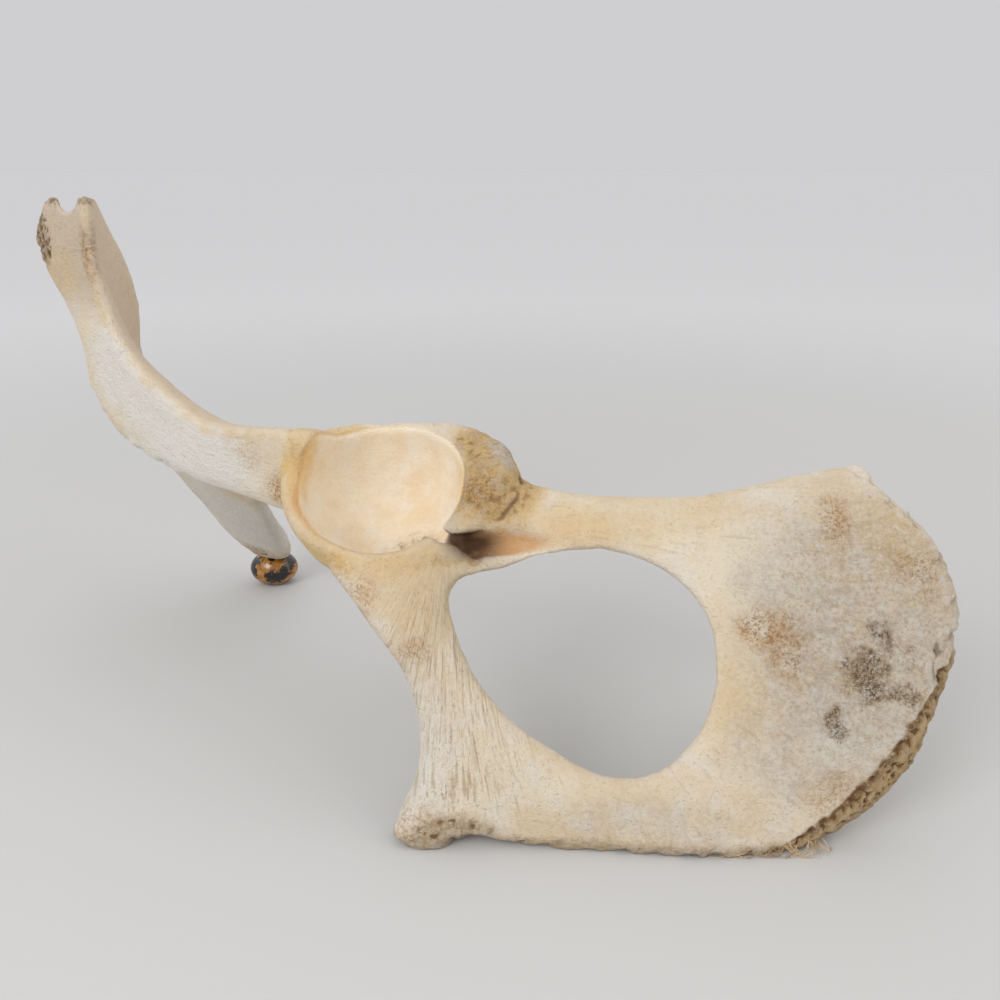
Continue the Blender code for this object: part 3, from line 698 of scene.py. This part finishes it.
def boneMaterial():
    n = NodeSheet("weatheredBone")
    look, share = boneLook, boneLook["share"]
    across, along = n.field("grainAcross"), n.field("grainAlong")
    fibre = n.vector(across, n.times(along, 0.09), 0.0)
    wide = n.noise(26, 3)
    cloud = n.noise(80, 4, 0.62)
    grit = n.noise(900, 3, 0.75)
    felt = n.noise(560, 5, 0.80)
    streak = n.noise(780, 3, 0.65, where=fibre)
    longStreak = n.noise(260, 2, 0.5, where=fibre)
    tuft = n.noise(640, 4, 0.75, where=n.vector(across, n.times(along, 0.3), 0.0))
    coarse = n.noise(620, 4, 0.8)
    hollow, bowl = n.field("hollow"), n.field("bowl")
    spongy = n.most(n.field("strip"), n.field("seam"), n.field("sponge"), n.field("wingEnd"),
                    n.field("foot"))
    felted = n.most(n.field("grey"), n.field("plate"))
    bare = n.plus(n.times(n.field("cup"), -1.0), 1.0)
    fibrous = n.times(bare, n.field("sameGrain"))

    n.colour = n.blend(n.between(wide, 0.36, 0.64), look["cream"], look["pale"])
    n.coat(n.times(n.between(cloud, 0.46, 0.66), share["dust"]), look["chalkAndLight"])
    for name in ("chalkAndLight", "tan", "dusk"):
        n.coat(n.times(n.field(name), share[name]), look[name])
    ochrePatch = n.times(n.field("ochre"), n.between(cloud, 0.28, 0.66, 0.5, 1.0))
    n.coat(n.times(ochrePatch, share["ochre"]), look["honey"])
    n.coat(n.times(n.field("lobe"), share["lobe"]), look["gold"])
    lobeStain = n.between(n.noise(190, 5, 0.75), 0.42, 0.62, 0.0, 0.42)
    n.coat(n.times(n.field("lobe"), lobeStain), look["ochre"])
    lobeChalk = n.times(n.field("lobe"), n.field("chalkAndLight"))
    n.coat(n.times(lobeChalk, n.between(felt, 0.62, 0.42)), look["chalkAndLight"])
    n.coat(n.times(n.field("rim"), n.between(cloud, 0.3, 0.6, 0.45, 0.95)), look["honey"])
    ridgeLine = n.times(n.field("ridgeStain"), n.between(n.noise(130, 3), 0.35, 0.60, 0.2, 0.8))
    n.coat(n.times(ridgeLine, share["ridge"]), look["honey"])
    greyPatch = n.times(n.field("grey"), n.between(n.noise(110, 5, 0.72), 0.40, 0.60))
    n.coat(n.times(greyPatch, share["grey"]), look["grey"])
    # felt and flecks: where the noise starts and is full, and the shares on felt and elsewhere
    for grain, low, high, onFelt, elsewhere, shade in (
            (felt, 0.50, 0.60, 0.50, 0.14, "grey"),
            (grit, 0.55, 0.68, 0.60, 0.12, "ochre"),
            (felt, 0.50, 0.36, 0.50, 0.18, "chalkAndLight")):
        strength = n.plus(n.times(felted, onFelt), elsewhere)
        n.coat(n.times(n.between(grain, low, high), strength), look[shade])
    # tufts and fibres
    n.coat(n.times(n.between(tuft, 0.54, 0.66), n.times(felted, share["tuftShade"])),
           look["fibreShade"])
    n.coat(n.times(n.between(tuft, 0.47, 0.36), n.times(felted, share["tuftPale"])),
           look["chalkAndLight"])
    darkFibre = n.times(n.between(streak, 0.54, 0.68), n.between(longStreak, 0.38, 0.60))
    n.coat(n.times(n.times(darkFibre, fibrous), share["darkFibre"]), look["fibreShade"])
    for grain, low, high, name, shade in (
            (streak, 0.52, 0.64, "pubisFibre", "fibreShade"),
            (streak, 0.48, 0.38, "pubisPale", "pale"),
            (tuft, 0.60, 0.68, "pubisPores", "earthAndShade")):
        patch = n.times(n.between(grain, low, high), n.field("pubis"))
        n.coat(n.times(patch, share[name]), look[shade])
    # specks of dirt
    speck = n.between(n.cells(420), 0.16, 0.28, 1.0, 0.0)
    speckGate = n.times(n.between(n.noise(120, 3, 0.6), 0.46, 0.58), bare)
    earthy = n.most(n.times(n.field("earthAndShade"), 0.6), n.times(n.field("lobe"), 0.15),
                    n.times(n.field("seam"), 0.5), n.times(n.field("fossa"), 0.7))
    speckShare = n.plus(n.times(earthy, share["specks"]), n.times(speckGate, 0.14))
    speckShare = n.times(speck, speckShare)
    n.coat(n.times(speckShare, n.between(grit, 0.40, 0.55), clamp=True), look["earthAndShade"])
    stainHaze = n.times(n.field("earthAndShade"), n.between(cloud, 0.40, 0.60))
    n.coat(n.times(stainHaze, share["haze"]), look["ochre"])
    earthGrains = n.times(n.field("earthAndShade"), n.between(coarse, 0.48, 0.58))
    n.coat(n.times(earthGrains, share["earthGrains"]), look["rust"])
    lobePores = n.times(n.field("lobe"), n.between(n.noise(760, 4, 0.8), 0.50, 0.60))
    n.coat(n.times(lobePores, n.plus(n.times(n.field("earthAndShade"), 0.7), 0.20)), look["rust"])
    footPores = n.times(n.field("foot"), n.between(coarse, 0.50, 0.60))
    n.coat(n.times(footPores, share["footPores"]), look["earthAndShade"])
    rustGrains = n.between(n.noise(480, 4, 0.8), 0.45, 0.60, 0.25, 1.0)
    n.coat(n.times(n.times(n.field("rust"), rustGrains), share["rust"]), look["rust"])
    mouldReach = n.plus(n.times(n.noise(170, 6, 0.8), 2.2), n.field("mould"))
    mouldHalo = n.times(n.between(mouldReach, 1.40, 1.90), n.between(tuft, 0.40, 0.60))
    n.coat(n.times(mouldHalo, share["mouldHalo"]), look["fibreShade"])
    mouldGrains = n.between(n.noise(820, 4, 0.85), 0.38, 0.60, 0.10, 1.0)
    n.coat(n.times(n.between(mouldReach, 1.60, 2.10), mouldGrains), look["mould"])
    # edges and hollows
    n.coat(n.times(n.field("strip"), share["strip"]), look["honey"])
    n.coat(n.times(spongy, n.between(felt, 0.40, 0.62, 0.15, 0.75)), look["ochre"])
    # the pores and hollows are darkened towards brown, a little everywhere and most on the spongy
    # places
    pitted = n.most(spongy, n.field("fossa"), n.times(n.field("lobe"), 0.2))
    pitShare = n.between(pitted, 0.0, 0.6, 0.30, 0.85)
    n.coat(n.times(n.between(hollow, 0.12, 0.70), pitShare), look["earthAndShade"])
    crest = n.times(n.between(hollow, -0.15, -0.80), n.times(bare, share["crest"]))
    n.coat(crest, look["chalkAndLight"])
    # painted shade: the holes of the broken tip, the spongy strip and the foot are darkened
    n.coat(n.times(n.field("holeShade"), share["holeShade"]), look["earthAndShade"])
    # painted shade: the crease under the crisp tail border is darkened as if in shadow
    n.coat(n.times(n.field("crease"), n.between(felt, 0.35, 0.55, 0.2, 0.8)), look["earthAndShade"])
    # painted shade: the crack along the lobe's edge is darkened as if in shadow
    n.coat(n.times(n.field("lobeCrack"), share["lobeCrack"]), look["earthAndShade"])
    n.coat(n.times(n.field("rimEdge"), n.between(cloud, 0.30, 0.60, 0.55, 0.95)), look["clay"])
    grooveDirt = n.times(n.field("groove"), n.between(bowl, -0.25, 0.30))
    n.coat(n.times(grooveDirt, n.between(n.noise(260, 4, 0.7), 0.35, 0.6, 0.6, 0.95)),
           look["clay"])
    # painted shadow: near-black brown in the deep end of the groove, under the lobe's lip
    n.coat(n.times(n.field("grooveShadow"), n.between(cloud, 0.30, 0.55, 0.75, 0.98)),
           look["shadowBrown"])
    n.coat(n.times(n.between(bowl, 0.30, 1.0), share["bowl"]), look["ochre"])

    middle, spread = look["roughness"], look["roughnessSpread"]
    gloss = n.between(felt, 0.3, 0.7, middle - spread, middle + spread)
    gloss = n.plus(gloss, n.times(n.field("cup"), -look["cupGloss"]))
    n.join(gloss, n.shader.inputs["Roughness"])

    rougher = n.most(spongy, n.field("lobe"), n.field("fossa"))
    height = n.times(streak, n.times(fibrous, n.plus(n.times(n.field("pubis"), 1.1), 0.5)))
    for grain in (
            n.times(felt, n.plus(n.times(felted, 0.9), 0.9)),
            n.times(grit, 0.45),
            n.times(n.between(n.cells(560), 0.08, 0.34), 0.30),
            n.times(n.times(n.noise(800, 4, 0.8), rougher), 2.2),
            n.times(n.times(longStreak, n.field("pubis")), 1.2)):
        height = n.plus(height, grain)
    height = n.times(height, n.plus(n.times(bare, 0.75), 0.25))
    height = n.plus(height, n.times(n.times(tuft, felted), 1.2))
    n.bump(height, look["bumpDepth"])
    return n.dress({"Specular IOR Level": look["specular"],
                    "Subsurface Weight": look["subsurface"],
                    "Subsurface Radius": look["subsurfaceReach"],
                    "Subsurface Scale": look["subsurfaceScale"]})


fibreLook = {
    "count": 60,
    "seed": 5,
    "reach": (88, 127),  # stretch of the seam that carries them, mm along it
    "rootHeight": (1.5, 6),  # mm above the floor
    "rootDepth": 22,  # mm, no root lies further back than this
    "rootWidth": 1.5,  # mm to each side where the foremost point of the skin is looked for
    "rootSink": (0.6, 1.6),  # mm that a root sits behind that point
    "heading": (-2.7, -0.3),  # radians
    "curl": (-0.5, 0.5),  # radians for each step
    "room": (0.3, 3.2),  # mm that a strand keeps from the front of the box
    "length": (5, 13),  # mm
    "thickness": (0.28, 0.45),  # mm
    "bumpDepth": 0.0002,  # m
    "bumpStrength": 0.4,
    "slope": 0.55,  # how far a strand falls for each mm of its length
    "lift": 0.05,  # mm between a lying strand and the floor
    "taper": 0.6,
    "steps": 9,
    "sides": 5,
    "straw": (0.62, 0.46, 0.25),
    "brown": (0.34, 0.21, 0.09),
    "roughness": 0.75,
}


def strandCourse(root, heading, curl, front, length, thick):
    # places along one strand, which turns as it falls and then lies on the floor
    look, place, course = fibreLook, root.copy(), []
    stride = length / (look["steps"] - 1)
    for _ in range(look["steps"]):
        course.append(place.copy())
        drop = -look["slope"] * stride if place[2] > thick else 0.0
        place = place + np.array((math.cos(heading) * stride, math.sin(heading) * stride, drop))
        place[2] = max(place[2], thick / 2 + look["lift"])
        heading += curl
    course = np.array(course)
    # a strand that would pass its front is drawn back to it
    forward = root[1] - course[:, 1].min()
    if forward > root[1] - front:
        share = max(root[1] - front, 0.0) / forward
        course[:, 1] = root[1] - (root[1] - course[:, 1]) * share
    return course


def tubeAlong(course, thick, points, faces):
    # adds a thin tapered tube, closed at both ends, to the points and faces
    steps, sides, start = len(course), fibreLook["sides"], len(points)
    way = np.gradient(course, axis=0)
    way /= np.linalg.norm(way, axis=1)[:, None]
    for k, (spot, ahead) in enumerate(zip(course, way)):
        side = np.cross(ahead, (0.0, 0.0, 1.0)) + np.array((1e-6, 0, 0))
        side /= np.linalg.norm(side)
        over = np.cross(side, ahead)
        half = thick / 2 * (1 - fibreLook["taper"] * k / (steps - 1))
        for j in range(sides):
            turn = 2 * math.pi * j / sides
            points.append(spot + half * (math.cos(turn) * side + math.sin(turn) * over))
    for k in range(steps - 1):
        for j in range(sides):
            a, b = start + k * sides + j, start + k * sides + (j + 1) % sides
            faces.append((a, b, b + sides, a + sides))
    faces.append(tuple(start + j for j in reversed(range(sides))))
    faces.append(tuple(start + (steps - 1) * sides + j for j in range(sides)))


def growFibres(bone):
    # dry strands of ligament that hang from the ragged foot of the seam
    look, rng = fibreLook, np.random.default_rng(fibreLook["seed"])
    co, _ = meshArrays(bone)
    skin = (co - seamFoot) * 1000
    low, high = look["rootHeight"]
    edge = skin[(skin[:, 2] > low) & (skin[:, 2] < high) & (skin[:, 1] < look["rootDepth"])]
    boxFront = (cadBox[0][1] - seamFoot[1]) * 1000
    points, faces = [], []
    for _ in range(look["count"]):
        x = rng.uniform(*look["reach"])
        near = edge[np.abs(edge[:, 0] - x) < look["rootWidth"]]
        root = near[near[:, 1].argmin()] + np.array((0, rng.uniform(*look["rootSink"]), 0))
        heading, curl = rng.uniform(*look["heading"]), rng.uniform(*look["curl"])
        front = boxFront + rng.uniform(*look["room"])
        length, thick = rng.uniform(*look["length"]), rng.uniform(*look["thickness"])
        tubeAlong(strandCourse(root, heading, curl, front, length, thick), thick, points, faces)
    mesh = bpy.data.meshes.new("seamFibres")
    mesh.from_pydata([tuple(toMetres(p)) for p in points], [], faces)
    strands = bpy.data.objects.new("seamFibres", mesh)
    scene.collection.objects.link(strands)
    mesh.shade_smooth()
    return strands


def fibreMaterial():
    n = NodeSheet("dryStrands")
    tone = n.between(n.noise(160, 3), 0.38, 0.62)
    n.colour = n.blend(tone, fibreLook["brown"], fibreLook["straw"])
    n.bump(n.noise(2500, 2), fibreLook["bumpDepth"], fibreLook["bumpStrength"])
    return n.dress({"Roughness": fibreLook["roughness"]})


pebbleLook = {
    "voxel": 0.00055,  # m
    "facetRounds": 14,
    "flatBand": 0.0004,  # m, the flats above and below stay level this near to their ends
    "middle": 10.5,  # mm above the floor
    "middleFade": (6, 10),  # mm from the middle, where the dents fade out
    "dents": 0.35,  # mm
    "inset": 0.15,  # mm
    "amber": (0.23, 0.085, 0.014),
    "straw": (0.43, 0.20, 0.040),
    "black": (0.010, 0.008, 0.007),
    "roughness": 0.20,
    "coat": 0.25,
    "coatRoughness": 0.06,
    "bumpDepth": 0.0002,  # m
    "bumpStrength": 0.15,
}


def shapePebble():
    look = pebbleLook
    stone = copyOfNode("foot_pebble", "tumbledPebble")
    remesh(stone, look["voxel"])
    co, _ = meshArrays(stone)
    low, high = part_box("foot_pebble")
    level = co[:, 2].copy()
    flat = (level < low.z + look["flatBand"]) | (level > high.z - look["flatBand"])
    co = evened(co, edgeArray(stone), look["facetRounds"])
    co[flat, 2] = level[flat]
    setPoints(stone, co)
    co, normal = meshArrays(stone)
    points = (co - seamFoot) * 1000
    middle = 1 - ramp(np.abs(points[:, 2] - look["middle"]), *look["middleFade"])
    push = look["dents"] * smoothNoise(points, 11, 91) * middle - look["inset"] * middle
    co = co + normal * push[:, None] * 0.001
    co[:, 2] = np.clip(co[:, 2], low.z, high.z)
    setPoints(stone, co)
    stone.data.shade_smooth()
    return stone


def pebbleMaterial():
    n = NodeSheet("polishedStone")
    look = pebbleLook
    cloud = n.noise(190, 4, 0.6, distortion=0.6)
    n.colour = n.blend(n.between(cloud, 0.38, 0.62), look["amber"], look["straw"])
    branch = n.times(n.noise(150, 7, 0.78, distortion=1.4), 0.6)
    patch = n.times(n.noise(85, 2, 0.5), 0.5)
    n.coat(n.between(n.plus(branch, patch), 0.530, 0.555), look["black"])
    n.bump(n.noise(700, 3, 0.6), look["bumpDepth"], look["bumpStrength"])
    return n.dress({"Roughness": look["roughness"], "Coat Weight": look["coat"],
                    "Coat Roughness": look["coatRoughness"]})


# Fit the pieces to the frame

bone = shapeBone()
bone.data.materials.append(boneMaterial())
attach(bone, "root")
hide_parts("hip_bone")
print("bone dressed")

strands = growFibres(bone)
strands.data.materials.append(fibreMaterial())
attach(strands, "root")
print("strands hung")

pebble = shapePebble()
pebble.data.materials.append(pebbleMaterial())
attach(pebble, "root")
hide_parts("foot_pebble")
print("pebble dressed")

# Floor, sky, lights, camera

roomLook = {
    "floorNear": (0.52, 0.517, 0.508),
    "floorFar": (0.655, 0.65, 0.655),
    "floorReach": 40.0,  # m to each side
    "floorFade": (0.35, 1.6),  # m from the middle between which the floor grows paler
    "floorRoughness": 0.7,
    "floorSpecular": 0.15,
    "horizonColour": (0.622, 0.620, 0.632),
    "zenithColour": (0.96, 0.96, 0.97),
    "skyClimb": (0.14, 0.42),  # sine of the height between which the sky grows paler
}


def floorMaterial():
    n = NodeSheet("floorPaint")
    away = n.nodes.new("ShaderNodeVectorMath")
    away.operation = "LENGTH"
    n.links.new(n.place(), away.inputs[0])
    # painted light: the floor is painted darker near the middle, where the lamps reach, and paler
    # far off, so that it looks evenly bright
    fade = n.between(away.outputs["Value"], *roomLook["floorFade"])
    n.colour = n.blend(fade, roomLook["floorNear"], roomLook["floorFar"])
    return n.dress({"Roughness": roomLook["floorRoughness"],
                    "Specular IOR Level": roomLook["floorSpecular"]})


def layFloor():
    reach = roomLook["floorReach"]
    corners = [(-reach, -reach, 0), (reach, -reach, 0), (reach, reach, 0), (-reach, reach, 0)]
    mesh = bpy.data.meshes.new("floor")
    mesh.from_pydata(corners, [], [(0, 1, 2, 3)])
    mesh.materials.append(floorMaterial())
    sheet = bpy.data.objects.new("floor", mesh)
    scene.collection.objects.link(sheet)


def softSky():
    # a pale world that grows lighter with height and meets the far floor in one tone
    world = bpy.data.worlds.new("softRoom")
    world.use_nodes = True
    nodes, links = world.node_tree.nodes, world.node_tree.links
    direction = nodes.new("ShaderNodeTexCoord")
    parts = nodes.new("ShaderNodeSeparateXYZ")
    rise = nodes.new("ShaderNodeMapRange")
    for end, height in zip(("From Min", "From Max"), roomLook["skyClimb"]):
        rise.inputs[end].default_value = height
    sky = nodes.new("ShaderNodeMix")
    sky.data_type = "RGBA"
    colours = [s for s in sky.inputs if s.type == "RGBA"]
    for socket, name in zip(colours, ("horizonColour", "zenithColour")):
        socket.default_value = (*roomLook[name], 1)
    links.new(direction.outputs["Generated"], parts.inputs[0])
    links.new(parts.outputs["Z"], rise.inputs["Value"])
    links.new(rise.outputs["Result"], sky.inputs["Factor"])
    blended = [s for s in sky.outputs if s.type == "RGBA"][0]
    links.new(blended, nodes["Background"].inputs["Color"])
    return world


layFloor()
scene.world = softSky()
scene.view_settings.view_transform = "Standard"

# places and sizes in metres, power in watts
lightSet = {
    "window": {"place": (-0.85, -1.15, 0.95), "aim": (0.0, 0.0, 0.1), "size": 0.8,
               "power": 13.0, "colour": (0.97, 0.98, 1.0)},
    "sideFill": {"place": (1.25, -0.8, 0.7), "aim": (0.0, 0.0, 0.1), "size": 1.2,
                 "power": 5.0, "colour": (1.0, 0.90, 0.78)},
}


def hangLamp(name, lamp):
    data = bpy.data.lights.new(name, "AREA")
    data.energy, data.size, data.color = lamp["power"], lamp["size"], lamp["colour"]
    light = bpy.data.objects.new(name, data)
    light.location = lamp["place"]
    way = Vector(lamp["aim"]) - Vector(lamp["place"])
    light.rotation_euler = way.to_track_quat("-Z", "Y").to_euler()
    scene.collection.objects.link(light)


for name, lamp in lightSet.items():
    hangLamp(name, lamp)

cameraSet = {
    "place": (0, -320, 252),  # mm from the foot of the seam
    "pitch": 18.5,  # degrees downwards
    "lens": 36.0,
    "sensor": 36.0,
    "nearest": 0.01,  # m
}
cameraData = bpy.data.cameras.new("photoCamera")
cameraData.lens, cameraData.sensor_width = cameraSet["lens"], cameraSet["sensor"]
cameraData.clip_start = cameraSet["nearest"]
camera = bpy.data.objects.new("photoCamera", cameraData)
camera.location = toMetres(cameraSet["place"])
camera.rotation_euler = (math.radians(90 - cameraSet["pitch"]), 0, 0)
scene.collection.objects.link(camera)
scene.camera = camera
print("room, lights and camera set")
